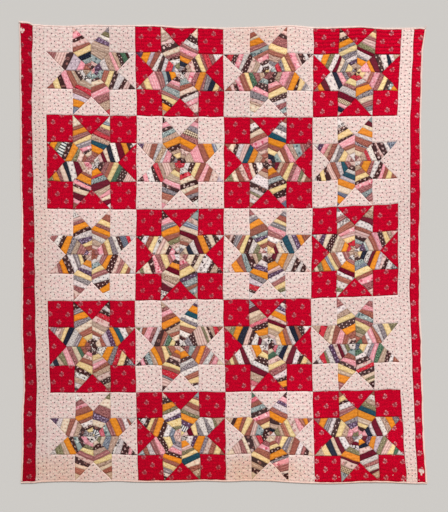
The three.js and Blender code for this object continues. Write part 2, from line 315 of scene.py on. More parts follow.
class Cloth:
    """Gathers the patches of one piece and makes its mesh. Patches are kept by their place in the panel."""

    def __init__(self, panel=None):
        self.panel = panel
        self.places, self.drops, self.depths = [], [], []
        self.points, self.faces, self.slots = [], [], []
        self.print_at, self.rib_at = [], []
        self.colours = {"ground": [], "motif": [], "accent": []}
        self.values = {"tone_with_painted_light": [], "painted_falloff": [], "stain": [], "wear": [], "rim": []}
        self.count = 0

    def add_patch(self, ends, length, look, grain=0.0, offset=(0, 0), tucked=()):
        """A patch, row by row. ends(t) gives both ends of a row, and t runs from 0 to 1 over the length.

        The tucked sides, some of top, bottom, left and right, end inside the binding.
        """
        along = spaced(length)
        sides = np.array([ends(t) for t in along / length])
        first, second = sides[:, 0], sides[:, 1]
        across_rows = self.panel.at(second[:, 0], second[:, 1]) - self.panel.at(first[:, 0], first[:, 1])
        widths = np.hypot(across_rows[:, 0], across_rows[:, 1])
        rows = [spaced(w) if w > 0.0008 else np.array([w / 2]) for w in widths]
        which = np.repeat(np.arange(len(rows)), [len(row) for row in rows])
        across = np.concatenate(rows)
        share = across / np.maximum(widths[which], 1e-9)
        self.places.append(first[which] + (second - first)[which] * share[:, None])
        inwards = {
            "top": along[which],
            "bottom": length - along[which],
            "left": across,
            "right": widths[which] - across,
        }
        edge = np.minimum.reduce([far - TUCK * (side in tucked) for side, far in inwards.items()])
        self.drops.append(1 - smoothstep(0, RIM_WIDTH, edge))
        self.values["rim"].append(1 - smoothstep(0, SEAM_LINE, edge))
        local_x, local_y = across - widths[which] / 2, along[which]
        c, n = math.cos(grain), math.sin(grain)
        turned = np.column_stack([local_x * c - local_y * n, local_x * n + local_y * c])
        self.print_at.append(turned / look["scale"] + np.asarray(offset))
        for name, values in self.colours.items():
            values.append(np.tile(look[name], (len(across), 1)))
        self.values["tone_with_painted_light"].append(np.full(len(across), look["tone_with_painted_light"]))
        self.depths.append(np.full(len(across), look["ridges"]))
        numbers = []
        for row in rows:
            numbers.append(range(self.count, self.count + len(row)))
            self.count += len(row)
        before = len(self.faces)
        for one, next_one in zip(numbers, numbers[1:]):
            self.faces += zip_rows(one, next_one)
        self.slots += [look["slot"]] * (len(self.faces) - before)

    def lay(self):
        """Puts every point of the patches in its place on the quilted top."""
        place = np.concatenate(self.places)
        drop = np.concatenate(self.drops)
        flat = drifted(self.panel.at(place[:, 0], place[:, 1]))
        x, y = flat[:, 0], flat[:, 1]
        rib = self.panel.first_rib + place[:, 1] * self.panel.ribs
        swell = np.abs(np.sin(math.pi * rib)) ** 0.75
        z = TOP_Z + VALLEY + (CREST - VALLEY) * swell * (1 - 0.4 * drop) - RIM_DROP * drop
        z = z + (unevenness(x, y) + puckers(x, y) * (1.2 - swell)) * (1 - 0.6 * drop)
        self.points = [np.column_stack([x, y, np.maximum(z, TOP_Z)])]
        self.rib_at = [np.column_stack([x, rib])]
        light = (1 + shading(x, y)) * ridge_light(x, y, swell, np.concatenate(self.depths))
        self.values["tone_with_painted_light"] = [np.concatenate(self.values["tone_with_painted_light"]) * light]
        # painted shade, darker towards the left side and the lower left
        self.values["painted_falloff"] = [painted_falloff_at(x, y)]
        self.values["stain"] = [stain_at(x, y)]
        self.values["wear"] = [spots(WORN_SPOTS, x, y)]

    def add_plain(self, points, print_at, rib, hidden=False):
        """Points that are in place already, without a patch's colours, wear or seams."""
        x, y = points[:, 0], points[:, 1]
        count = len(points)
        self.points.append(points)
        self.print_at.append(print_at)
        self.rib_at.append(np.column_stack([x, rib]))
        for values in self.colours.values():
            values.append(np.zeros((count, 3)))
        self.values["tone_with_painted_light"].append(1 + shading(x, y))
        # the painted shade towards the left and lower left, left out where the cloth is hidden
        self.values["painted_falloff"].append(np.ones(count) if hidden else painted_falloff_at(x, y))
        self.values["stain"].append(stain_at(x, y) * (0.3 if hidden else 1))
        for name in ("wear", "rim"):
            self.values[name].append(np.zeros(count))

    def make(self, name, materials):
        if self.places:
            self.lay()
        mesh = bpy.data.meshes.new(name)
        points = np.concatenate(self.points)
        mesh.from_pydata(points.tolist(), [], self.faces)
        for material in materials:
            mesh.materials.append(material)
        mesh.polygons.foreach_set("material_index", self.slots)
        mesh.polygons.foreach_set("use_smooth", [True] * len(self.faces))
        corners = np.zeros(len(mesh.loops), np.int32)
        mesh.loops.foreach_get("vertex_index", corners)
        for layer, places in (("print", self.print_at), ("ribs", self.rib_at)):
            uv = mesh.uv_layers.new(name=layer)
            uv.data.foreach_set("uv", np.concatenate(places)[corners].ravel())
        for layer, values in self.colours.items():
            rgb = np.concatenate(values)
            rgba = np.column_stack([rgb, np.ones(len(rgb))])
            attribute = mesh.color_attributes.new(layer, "FLOAT_COLOR", "POINT")
            attribute.data.foreach_set("color", rgba.ravel())
        for layer, values in self.values.items():
            attribute = mesh.attributes.new(layer, "FLOAT", "POINT")
            attribute.data.foreach_set("value", np.concatenate(values))
        mesh.validate()
        made = bpy.data.objects.new(name, mesh)
        bpy.context.scene.collection.objects.link(made)
        return made


# The strings and the chart of the stars

KINDS = ["plain", "dotted", "sprigged", "striped", "checked", "figured", "flowered", "lined"]
FABRICS = {
    # letter in the chart: the kinds of print it may have, and the colours of ground, motif and accent
    "o": (["plain"], (233, 143, 38), (208, 116, 26), (246, 168, 72)),
    "y": (["figured", "sprigged"], (234, 202, 146), (214, 176, 112), (244, 224, 182)),
    "c": (["plain", "sprigged"], (232, 208, 184), (198, 168, 142), (210, 150, 132)),
    "w": (["dotted", "sprigged", "plain"], (231, 216, 210), (120, 112, 120), (206, 176, 174)),
    "p": (["sprigged", "flowered", "striped"], (226, 190, 180), (190, 126, 124), (158, 126, 116)),
    "k": (["flowered", "sprigged", "striped"], (232, 156, 164), (196, 84, 104), (246, 206, 206)),
    "f": (["sprigged", "striped"], (212, 96, 112), (236, 164, 170), (156, 40, 58)),
    "r": (["sprigged", "striped", "flowered"], (198, 38, 54), (228, 112, 120), (122, 8, 26)),
    "m": (["plain", "dotted"], (100, 8, 32), (122, 26, 48), (62, 4, 20)),
    "b": (["figured", "striped", "plain"], (160, 90, 76), (118, 62, 52), (190, 130, 110)),
    "d": (["dotted", "flowered", "sprigged"], (64, 34, 34), (214, 184, 176), (136, 92, 86)),
    "n": (["plain", "dotted"], (18, 22, 38), (40, 44, 64), (84, 88, 108)),
    "t": (["plain", "dotted"], (20, 66, 82), (44, 94, 106), (10, 46, 60)),
    "g": (["figured", "dotted", "striped"], (136, 123, 127), (68, 60, 68), (210, 196, 194)),
    "s": (["figured", "striped", "checked"], (122, 126, 140), (78, 80, 98), (200, 202, 210)),
    "a": (["figured", "flowered"], (150, 160, 158), (78, 92, 96), (220, 220, 214)),
    "e": (["plain", "figured"], (80, 108, 86), (48, 76, 58), (150, 172, 146)),
    "u": (["figured", "sprigged"], (130, 120, 88), (88, 80, 56), (186, 176, 146)),
    "v": (["dotted", "figured"], (86, 56, 80), (176, 152, 178), (52, 30, 54)),
    "q": (["figured", "striped", "sprigged"], (186, 154, 134), (132, 98, 82), (222, 198, 178)),
    "x": (["figured", "flowered"], (226, 212, 206), (46, 36, 38), (130, 116, 116)),
    "l": (["striped", "sprigged"], (204, 184, 190), (138, 116, 130), (232, 216, 218)),
    "h": (["figured", "striped"], (156, 92, 92), (106, 52, 56), (204, 150, 142)),
    "z": (["checked"], (226, 202, 170), (96, 62, 50), (172, 130, 100)),
    "j": (["lined"], (228, 222, 218), (52, 60, 74), (150, 150, 150)),
}
COMMON = "wkbdgqcyphsx"  # fabrics that fill a diamond whose word is short
FULL_WORD = 38  # the widths in a word that reaches the star's middle

# A word for each diamond, clockwise from the top left tip: each string's fabric and width, from the tip in.
STARS = {
    # row and column: the eight words
    (1, 1): """p5k5d3p4b3y5n5a4h3d3 g5u4w3v4q6q6a5p3d4 w6d2e4d3q3k3q5w5v6k3 d6p4d3w5d4y4b4a4v3k3
        r5q7h6k5b4c4d2a4p3 s7o6l4h4r4q5x4a6 b7y5d4k5b4q3d3x3q6 h8p8d5l8k5b6""",
    (1, 2): """c6q6p3d5c4h3d2w4u4g3 c8d5w4h3k4b3o4n4g5 w8h4r5h2y4d4p4q3d6 h5y4n4g4h2o5h4k4p4x4
        h4p7k4w4d2c4b4a5x6 q5o5d3y4h3a5h3k4d4p4 w5b3y5k7h5a3n3o5x4 v6o6l3b4w3d3w3r5s2w3d2""",
    (1, 3): """w4b4c2o5h4a4b3k4d3w2d3y2 b4p3d3h7y5b4q5g3x6 d5w3d4p2k5b4y4g3r4a4h2 w6g3y4d2o5h3k6q4d3h4
        h4a4h4w3d4y5b3k4d4h5 w5c6q2p3g5k4d5a4h6 b6p3d3k4b5y3e4h4q4d4 d3r5d4k4w3d4p4q4w3d3y3""",
    (1, 4): """d4c4d3o5g3y4g4w3v3q4d3 b4y4h3p5u4m3w4g2o5q6 q6w3n3w5d4m5o3k7y4 o6a3d4y4h4k5b3p4y4d3
        w5g4h4c4g4o6b2w4r4y3 p4n4k3z4m5w5h3y5r4d3 h5o4m5w7n4k4g3h3q5 w8o5u4w4m3c3g4y5g4""",
    (2, 1): """c9b3o4h4y3g4k3d2c3h5 w5s3y3h4r4q4t4o5b3h5 w4d4o4m5w4n4c3m3p3x4h2 p5p5d5e4y4b3h4d4x4q2
        w4m4c3k3q4m5a4r2o5x6 b5k3m5c4d2k3v1o5b2p5k3q2 u5o5h3c4n3w5m5q4k4h2 d3o5u3j5d4o5u3p4b3h5""",
    (2, 2): """d5k4d3a4q4o5d4q3y4d2r2 h5k4g4z4h4o5b3p4q3d4 w7s3o6b5k8q6d5 l6p6b4k4b4y4d4w4r4
        x7d3g3b3c3d4c4r4x5r4 k5p3b5g4d3k4q5y4b3r4 d6k4w5d3r4q3p6q4r5 v6p7b4w3q4w2k5d3g3r3""",
    (2, 3): """b5w5d2c4b4k5h4p3b4q4 b5w3g4w4t4o5b4y4n4k3 h7h3a5q4k4b4c3a4n3b3 b6c3u3k5h3y4b4q3m3d4k2
        s6k4d5y4d4a4b3o5c2d3 b5w3p3u2w3d4w8q4b3d5 q3u5c4b4p4r4c3d3w5d5 b5c4d3w4p4t4o5q5b3d3""",
    (2, 4): """x9d4y5d2k6b3c4w7 a5m4c3o5w3b5g2b4c4h5 s8w3d5p2d4w5r3q5p5 b6y4b3k3d4w4h3o6b2w5
        p4h5a4h4k4d3y4b4q4x4 s3o6s3c5o5l3t4w3d4p4 w4d4y4d4p4b4w4t4h4p4 w5v4k4q3b4w3g4y5p4h4""",
    (3, 1): """x7p3h3o5d3w4v4y3b4p4 p5b5y4h3o4b3w4q4p3b5 w5r3s5d3w3g4y4b3k4h3b3 w5b3y4h4p3d5o4h4w3b5
        w8o5d4w4h4y4a4w3b4 p8h4w4g4y4v3l3o5p5 p9h3o4d5w4g4y3d3q5 w3h5w4d3o5g4q4h6v3k3""",
    (3, 2): """d8k5g4o5b4u4p4x3p3 a9p4s4c4m4q4b3w3g5 w5d4c4d3o5m4w4n4c3q4 d5q5d3w4x4c4d3c5h4q3
        q5a5b3a5v3d1y6h3k4p5 x8m5p3q5c3m4o4d3w5 p4u3c6d4k4h4y5h3k3w4 d6w4b4y4x3p4c4d3k4d4""",
    (3, 3): """h6w2g3o5b6a3v3y3b4w5 w3g4b4y3g4k4h4w4b4y6 b8o4v4w3t5x3c4m3y6 p5d4w3d4w4q4o5c3m4c4
        w6u3y4h4w4v3p3o5d4p4 w6d2r4l4g4o5v4w4d4x3 w5p4o6b4a4d5q3u4w5 b5p3d2g4b3y4d4w4u4p3h4""",
    (3, 4): """g4w4h4x4b5k3p3y4r4q5 c5q6m4w5b3p4d3a3h4x3 p6q3y4d4k4b4c4a2v4x5 g6w4d3p3l3o4m3x4n4y3q3
        p6h6k5b3y5s3a4d3q5 w5u3w5b4w3m4o6h3x4q3 b3c3u4o5s3y3b4w5h5q5 a4p4v4c4d5c3q5o4r3q4""",
    (4, 1): """d7g4o5g4c5b5y4d4w2 d6w3d3r4p5q4c3b3w3d6 p4b4w5t4o4v4l4b3c4d4 g7d3y5r4g4o6x6d5
        b4q4d4p4q4b3k4p2y4d3x4 d4w4q4x4d4y5b4p3k3d5 a4n4q3u4k5h4c4e3b4h5 p3g4p4q2y3n4w5g4o5b3h3""",
    (4, 2): """q6h3k4b4o5d2q4b3c4d5 w4v2o5t4w3g3y3b4w4d3x5 b5r4q3d2c2u2p8d4g5x5 c6k4h2w4h4o4b4a4h4d4
        w6d2y4b4w4g4w3d3o5c5 d5p6g2r5b3y3d4p2b3o3p4 d5k3d2a4q3o4b4y4u2b5p4 u4w2b3k5h3w3d4b3g1e4y4d4""",
    (4, 3): """g7m4c4q4f3d4o5q3x3w3 m4w3v3l2o5p3m3y4q4p3x6 w7d4b3n4w3b4o4c4l2d5 q5y4d3w4m5c3n4a4f3d5
        m4o5d3w4h5y4p4e4c3d4 p5f4q6m5w4d5y4b2x5 b5y3b3w5m4w5p2o6x4g3 q6u4o5n5p4d3w4m3w3g3""",
    (4, 4): """h8w4q4y4d5o5b5p2d3 w4h4k4b4a4h3y4u4q3b6 u8y5g4w3b3k4w3b4e6 b6w3d4q4e4k4g3w3y5s4
        d7c2u2c3d4r3p3d4w3e4s5 h7o6q3y4d3k4b4a4x5 d5w3r4u2w4v4p3m3w3u3x6 q8r5q4c3b4k5b4p2d5""",
    (5, 1): """w7h4k3b5o4b3w4d3y3x4 u6c7h8v5c5d3j4y2 w6b2w4h4o6h4a4f4j6 d5k3d6w4x2q5s5c3u3x4
        q7b4c3q3y4h4q4d4c3x4 c6b5c3d4p3h4y4u3k3x5 x6u6q4o5d3a4d3k4x5 v7w4c6b4p3q4d4g4x4""",
    (5, 2): """p5d5o5u3w4v3y6u3p6 a5h2y4b4q4u3o5v4j5y4 q9u2w4g3w5g3y4m4p6 b5y5b4p4g3o6v3w5x5
        u4q5b4c4t5y3u3p3o5x4 d4w3g4y4b3o4d3k4l2g4p5 a6b4w4h4k4d4y5s3p6 d4x4d3y3b3o5d4w4s4p6""",
    (5, 3): """e5f4b4a4d4k4b4y4d4p3 d5k4v3w5b4o5d3q4n3b4 h5o3b3k4p5y4b4q3u4x5 c5d3h3w4b5q2g4y4h5c5
        c2d5w2h5k4g2d1o5d3y3b3c5 c6d4q4d4y4b5k4h4c5 c7p6h4c3d5p4r4d4p3 q6d3o5b3y4b3p4a6d6""",
    (5, 4): """b5y4d2w4h4o6g3v4k4u4 b4w4q4u4t4o5q4y3d3k5 r3g5o5q4w4m5w3n4k4w3 w6e3y4p5u4l4o4v3m4w3
        r3q5m2w4h3w4m5p4n3o4w3 a8z5p5m2o5u4x3m3w5 q8y5n5c3m4w5h5g5 h6o5g4w3d4y5q4k4u5""",
}

DIAMONDS = [
    # the tip of each diamond and the notches on both sides of it
    ((TIP, 0), (TIP, TIP), (0.5, NOTCH)),
    ((1 - TIP, 0), (0.5, NOTCH), (1 - TIP, TIP)),
    ((1, TIP), (1 - TIP, TIP), (1 - NOTCH, 0.5)),
    ((1, 1 - TIP), (1 - NOTCH, 0.5), (1 - TIP, 1 - TIP)),
    ((1 - TIP, 1), (1 - TIP, 1 - TIP), (0.5, 1 - NOTCH)),
    ((TIP, 1), (0.5, 1 - NOTCH), (TIP, 1 - TIP)),
    ((0, 1 - TIP), (TIP, 1 - TIP), (NOTCH, 0.5)),
    ((0, TIP), (NOTCH, 0.5), (TIP, TIP)),
]
SQUARES = [(0, 0), (1 - TIP, 0), (0, 1 - TIP), (1 - TIP, 1 - TIP)]
TRIANGLES = [
    ((TIP, 0), (1 - TIP, 0), (0.5, NOTCH)),
    ((1, TIP), (1, 1 - TIP), (1 - NOTCH, 0.5)),
    ((1 - TIP, 1), (TIP, 1), (0.5, 1 - NOTCH)),
    ((0, 1 - TIP), (0, TIP), (NOTCH, 0.5)),
]
RED_SLOT, PINK_SLOT = len(KINDS), len(KINDS) + 1
# blocks whose red print has paler sprays than the rest
PALE_SPRAYS = {(1, 4): 0.42, (3, 4): 0.18, (5, 4): 0.55}
NO_COLOUR = np.zeros(3)


def lerp(a, b, t):
    return (a[0] + (b[0] - a[0]) * t, a[1] + (b[1] - a[1]) * t)


def ground_look(red, r, paleness=0.08):
    return {
        "slot": RED_SLOT if red else PINK_SLOT,
        "scale": 1.0,
        "ground": NO_COLOUR,
        "motif": NO_COLOUR,
        "accent": np.full(3, paleness),
        "tone_with_painted_light": 1 + r.normal(0, 0.018),
        "ridges": 0.62 if red else 0.12,
    }


def string_look(letter, r):
    kinds, ground, motif, accent = FABRICS[letter]
    cast = 1 + r.normal(0, 0.018, 3)
    fade = r.uniform(0, 0.05)
    tints = [linear(c) * cast for c in (ground, motif, accent)]
    grey = tints[0].mean()
    return {
        "slot": KINDS.index(kinds[r.integers(len(kinds))]),
        "scale": r.uniform(1.1, 1.8),
        "ground": tints[0] * (1 - fade) + fade * (0.5 * grey + 0.35),
        "motif": tints[1],
        "accent": tints[2],
        "tone_with_painted_light": 1.15 + r.normal(0, 0.07),
        "ridges": 0.25,
    }


def add_quad(cloth, corners, look, r, tucked):
    """A four-sided patch, its corners from the top left round clockwise in the panel's u and v."""
    a, b, c, d = corners
    height = cloth.panel.between(a, d)
    offset = r.uniform(0, 1, 2)
    cloth.add_patch(lambda t: (lerp(a, d, t), lerp(b, c, t)), height, look, 0.0, offset, tucked)


def add_triangle(cloth, corners, look, r, tucked):
    a, b, apex = corners
    height = cloth.panel.between(apex, lerp(a, b, 0.5))
    offset = r.uniform(0, 1, 2)
    grain = math.atan2(b[1] - a[1], b[0] - a[0])
    cloth.add_patch(lambda t: (lerp(a, apex, t), lerp(b, apex, t)), height, look, grain, offset, tucked)


def add_diamond(cloth, centre, diamond, word, r):
    """One diamond of strings, from its tip to the star's middle. The word gives their fabrics and widths."""
    tip, first, second = diamond
    length = cloth.panel.between(centre, tip)

    def ends(share):
        if share < 0.5:
            return lerp(tip, first, share * 2), lerp(tip, second, share * 2)
        return lerp(first, centre, share * 2 - 1), lerp(second, centre, share * 2 - 1)

    letters, widths = [], []
    for sign in word:
        if sign.isdigit():
            widths[-1] = float(sign)
        else:
            letters.append(sign)
            widths.append(r.uniform(3.4, 4.6) if len(letters) > 1 else 6.0)
    while sum(widths) < FULL_WORD:
        letters.append(COMMON[r.integers(len(COMMON))])
        widths.append(r.uniform(2.5, 4.0))
    cuts = np.concatenate([[0], np.cumsum(widths)]) / sum(widths)
    slants = np.concatenate([[0], r.normal(0, SLANT, len(cuts) - 2), [0]])
    near_sides = np.maximum.accumulate(cuts + slants * np.minimum(1, 4 * cuts * (1 - cuts)))
    far_sides = np.maximum.accumulate(2 * cuts - near_sides)
    for i, letter in enumerate(letters):
        a, b = near_sides[i : i + 2]
        c, d = far_sides[i : i + 2]

        def string_ends(t):
            return ends(a + (b - a) * t)[0], ends(c + (d - c) * t)[1]

        look = string_look(letter, r)
        offset = r.uniform(0, 1, 2)
        grain = r.normal(0, 0.06)
        cloth.add_patch(string_ends, (cuts[i + 1] - cuts[i]) * length, look, grain, offset)


def make_block(row, column, materials):
    cloth = Cloth(block_panel(row, column))
    red = (row + column) % 2 == 1
    r = rng(10, row, column)
    paleness = PALE_SPRAYS.get((row, column), 0.08)
    for u, v in SQUARES:
        corners = [(u, v), (u + TIP, v), (u + TIP, v + TIP), (u, v + TIP)]
        tucked = ["top"] * (row == 1 and v == 0) + ["bottom"] * (row == ROWS and v > 0)
        add_quad(cloth, corners, ground_look(red, r, paleness), r, tucked)
    for corners in TRIANGLES:
        base = corners[0][1], corners[1][1]
        tucked = ["top"] * ((row == 1 and base == (0, 0)) or (row == ROWS and base == (1, 1)))
        add_triangle(cloth, corners, ground_look(red, r, paleness), r, tucked)
    centre = (0.5, 0.5)
    for diamond, word in zip(DIAMONDS, STARS[row, column].split()):
        add_diamond(cloth, centre, diamond, word, r)
    return cloth.make(f"pieced_block_r{row}_c{column}", materials)


def make_strip(node, name, red, materials, tone_with_painted_light, paleness, lengths):
    """A long strip, joined from lengths: the start of each, and the turn and offset of its print."""
    cloth = Cloth(strip_panel(node))
    look = ground_look(red, rng(20), paleness)
    look["tone_with_painted_light"] = tone_with_painted_light
    height = cloth.panel.between((0, 0), (0, 1))
    sides = [side for side in ("left", "right") if node == f"strip_{side}_red"]
    starts = [start for start, turn, offset in lengths] + [1]
    for (start, turn, offset), end in zip(lengths, starts[1:]):
        tucked = sides + ["top"] * (start == 0) + ["bottom"] * (end == 1)
        at = (offset[0], offset[1] + start * height)

        def ends(t):
            return (0, start + (end - start) * t), (1, start + (end - start) * t)

        cloth.add_patch(ends, (end - start) * height, look, turn, at, tucked)
    return cloth.make(name, materials)


# Materials


class Graph:
    """Adds shader nodes to a material. Values are numbers or the outputs of other nodes."""

    def __init__(self, name):
        self.material = bpy.data.materials.new(name)
        self.material.use_nodes = True
        self.tree = self.material.node_tree
        self.tree.nodes.clear()

    def node(self, kind, inputs=None, **settings):
        made = self.tree.nodes.new("ShaderNode" + kind)
        for key, value in settings.items():
            setattr(made, key, value)
        for key, value in (inputs or {}).items():
            self.put(made.inputs[key], value)
        return made

    def shown(self, shader):
        """The finished material, with the shader as its surface."""
        self.node("OutputMaterial", {0: shader.outputs[0]})
        return self.material

    def put(self, socket, value):
        if isinstance(value, bpy.types.NodeSocket):
            self.tree.links.new(value, socket)
        else:
            socket.default_value = value

    def math(self, operation, a, b=0.0, c=0.0):
        made = self.node("Math", {0: a, 1: b, 2: c}, operation=operation)
        return made.outputs[0]

    def times(self, *values):
        total = values[0]
        for value in values[1:]:
            total = self.math("MULTIPLY", total, value)
        return total

    def mix(self, share, a, b, blend="MIX"):
        made = self.node("Mix", {0: share, 6: a, 7: b}, data_type="RGBA", blend_type=blend)
        return made.outputs[2]

    def over(self, colour, mask, share, other):
        """A colour with a share of another laid over it where the mask is."""
        return self.mix(self.times(mask, share), colour, other)

    def colour(self, rgb):
        return (*linear(rgb), 1.0)

    def grey(self, value):
        return self.node("CombineXYZ", {0: value, 1: value, 2: value}).outputs[0]

    def attribute(self, name, output="Fac"):
        return self.node("Attribute", attribute_name=name).outputs[output]

    def place(self, name):
        """Both coordinates of a UV map, and the map itself."""
        uv = self.node("UVMap", uv_map=name).outputs[0]
        split = self.node("SeparateXYZ", {0: uv})
        return split.outputs[0], split.outputs[1], uv

    def vector(self, x, y):
        return self.node("CombineXYZ", {0: x, 1: y}).outputs[0]

    def off_line(self, value, half_pitch):
        """How far a value is from the nearest of evenly spaced lines."""
        return self.math("ABSOLUTE", self.math("WRAP", value, half_pitch, -half_pitch))

    def lattice(self, x, y, pitch_x, pitch_y):
        """Place from the middle of the nearest cell of a staggered lattice, and the cell's own number."""
        p = self.math("WRAP", x, pitch_x / 2, -pitch_x / 2)
        column = self.math("DIVIDE", self.math("SUBTRACT", x, p), pitch_x)
        odd = self.math("FLOORED_MODULO", self.math("ROUND", column), 2.0)
        shifted = self.math("MULTIPLY_ADD", odd, pitch_y / 2, y)
        q = self.math("WRAP", shifted, pitch_y / 2, -pitch_y / 2)
        row = self.math("DIVIDE", self.math("SUBTRACT", shifted, q), pitch_y)
        return p, q, self.vector(column, row)

    def spot(self, at, centre, reach, turn=0.0, soft=0.25):
        """1 inside an ellipse and 0 outside it."""
        mapped = self.node("Mapping", {0: at}, vector_type="TEXTURE")
        mapped.inputs["Location"].default_value = (*centre, 0)
        mapped.inputs["Rotation"].default_value = (0, 0, turn)
        mapped.inputs["Scale"].default_value = (*reach, 1)
        far = self.node("VectorMath", {0: mapped.outputs[0]}, operation="LENGTH").outputs[1]
        return self.ramp(far, 1 + soft, 1 - soft)

    def ramp(self, value, zero_at, one_at):
        made = self.node("MapRange", {0: value, 1: zero_at, 2: one_at, 3: 0.0, 4: 1.0})
        return made.outputs[0]

    def most(self, *values):
        total = values[0]
        for value in values[1:]:
            total = self.math("MAXIMUM", total, value)
        return total

    def noise(self, at, scale, detail=2.0, roughness=0.5):
        inputs = {"Vector": at, "Scale": scale, "Detail": detail, "Roughness": roughness}
        return self.node("TexNoise", inputs).outputs[0]

    def chance(self, cell):
        """The random number and the random colour of a lattice's cell."""
        return self.node("TexWhiteNoise", {0: cell}, noise_dimensions="3D").outputs

    def jittered(self, p, q, cell, amount):
        """The same place with each cell's motif a little off its middle."""
        split = self.node("SeparateColor", {0: self.chance(cell)[1]})
        px = self.math("MULTIPLY_ADD", split.outputs[0], amount, p)
        qy = self.math("MULTIPLY_ADD", split.outputs[1], amount, q)
        return self.vector(self.math("SUBTRACT", px, amount / 2), self.math("SUBTRACT", qy, amount / 2))


WEAVE_PITCH = 0.0005
STITCH = 0.0048  # from one quilting stitch to the next
STAIN_TINT = (244, 214, 178)
WORN_PINK, WORN_WHITE = (228, 182, 172), (238, 226, 214)  # threads under the worn print
# painted seam shade on the strings
SEAM_SHADE_TINT = (176, 166, 162)


def finish_cloth(graph, colour):
    """The last steps that every cloth shares: tone with its painted light and shade, stains, wear, weave,
    stitches and the shader.
    """
    x, y, uv = graph.place("print")
    rib_x, rib_y = graph.place("ribs")[:2]
    grain = graph.noise(uv, 900.0, 3.0, 0.65)
    broad = graph.vector(graph.times(rib_x, 7.0), graph.times(rib_y, 0.126))
    slow = graph.noise(broad, 1.0, 3.0, 0.6)
    drawn = graph.vector(graph.times(rib_x, 95.0), graph.times(rib_y, 1.7))
    crease = graph.noise(drawn, 1.0, 3.0, 0.6)
    # The tone carries painted light and shade: brighter ridges and top right, darker left side and lower
    # left.
    tone_with_painted_light = graph.times(
        graph.attribute("tone_with_painted_light"),
        graph.attribute("painted_falloff"),
        graph.ramp(grain, -2.4, 3.0),
        graph.math("MULTIPLY_ADD", slow, 0.12, 1.74),
        # painted shade in the creases, from the same noise as their bump
        graph.math("MULTIPLY_ADD", crease, 0.70, 0.65),
    )
    colour = graph.mix(1.0, colour, graph.grey(tone_with_painted_light), "MULTIPLY")
    stained = graph.mix(1.0, colour, graph.colour(STAIN_TINT), "MULTIPLY")
    colour = graph.over(colour, graph.attribute("stain"), graph.ramp(slow, 0.1, 0.75), stained)
    torn = graph.noise(uv, 420.0, 4.0, 0.7)
    bare = graph.math("ADD", graph.attribute("wear"), graph.times(torn, 0.9))
    bare = graph.ramp(bare, 1.05, 1.25)
    threads = graph.mix(graph.ramp(torn, 0.40, 0.56), graph.colour(WORN_PINK), graph.colour(WORN_WHITE))
    colour = graph.mix(bare, colour, threads)
    near = graph.ramp(graph.off_line(rib_y, 0.5), 0.030, 0.016)
    stitch = graph.times(near, graph.ramp(graph.off_line(rib_x, STITCH / 2), 0.0015, 0.0011))
    turn = 2 * math.pi / WEAVE_PITCH
    warp = graph.math("SINE", graph.times(x, turn))
    weft = graph.math("SINE", graph.times(y, turn))
    relief = [
        # what raises or sinks the surface, and how far in metres
        (graph.times(warp, weft), 0.00004),
        (crease, 0.0022),
        (near, -0.0003),
        (stitch, 0.00022),
        (bare, -0.0002),
    ]
    height = 0.0
    for mask, amount in relief:
        height = graph.math("MULTIPLY_ADD", mask, amount, height)
    bump = graph.node("Bump", {"Height": height, "Strength": 0.6, "Distance": 1.0})
    inputs = {"Base Color": colour, "Roughness": 0.93, "Normal": bump.outputs[0]}
    shader = graph.node("BsdfPrincipled", inputs)
    shader.inputs["Sheen Weight"].default_value = 0.01
    shader.inputs["Sheen Roughness"].default_value = 0.6
    shader.inputs["Specular IOR Level"].default_value = 0.04
    return graph.shown(shader)


# Each of these paints one kind of print from its ground, motif and accent


def plain_print(graph, x, y, uv, ground, motif, accent):
    cloud = graph.noise(uv, 200.0, 3.0, 0.7)
    colour = graph.over(ground, graph.ramp(cloud, 0.42, 0.62), 0.8, motif)
    fleck = graph.noise(uv, 330.0, 2.0, 0.6)
    return graph.over(colour, graph.ramp(fleck, 0.56, 0.70), 0.6, accent)


def dotted_print(graph, x, y, uv, ground, motif, accent):
    pitch = (0.012, 0.0105)
    at = graph.jittered(*graph.lattice(x, y, *pitch), 0.0025)
    colour = graph.mix(graph.spot(at, (0, 0), (0.0020, 0.0018)), ground, motif)
    at = graph.jittered(*graph.lattice(graph.math("ADD", x, pitch[0] / 2), y, *pitch), 0.003)
    return graph.mix(graph.spot(at, (0, 0), (0.0010, 0.0010)), colour, accent)


def sprigged_print(graph, x, y, uv, ground, motif, accent):
    at = graph.jittered(*graph.lattice(x, y, 0.013, 0.014), 0.002)
    leaves = graph.most(
        graph.spot(at, (0.0016, 0.0), (0.0026, 0.0010), 0.7),
        graph.spot(at, (-0.0016, 0.0), (0.0026, 0.0010), -0.7),
        graph.spot(at, (0.0, -0.0022), (0.0007, 0.0022), 0.0),
    )
    bloom = graph.spot(at, (0.0, 0.0026), (0.0019, 0.0017))
    return graph.mix(bloom, graph.mix(leaves, ground, motif), accent)


def striped_print(graph, x, y, uv, ground, motif, accent):
    line = graph.ramp(graph.off_line(y, 0.0016), 0.0006, 0.0003)
    band = graph.ramp(graph.off_line(y, 0.0042), 0.0015, 0.0011)
    colour = graph.over(ground, line, 0.45, motif)
    colour = graph.over(colour, band, 0.8, accent)
    dash = graph.ramp(graph.noise(uv, 260.0, 1.0), 0.52, 0.6)
    return graph.over(colour, graph.times(band, dash), 0.8, motif)


def checked_print(graph, x, y, uv, ground, motif, accent):
    down, across = [graph.ramp(graph.off_line(along, 0.003), 0.0016, 0.0013) for along in (x, y)]
    colour = graph.over(ground, down, 0.6, motif)
    colour = graph.over(colour, across, 0.6, motif)
    return graph.over(colour, down, across, motif)


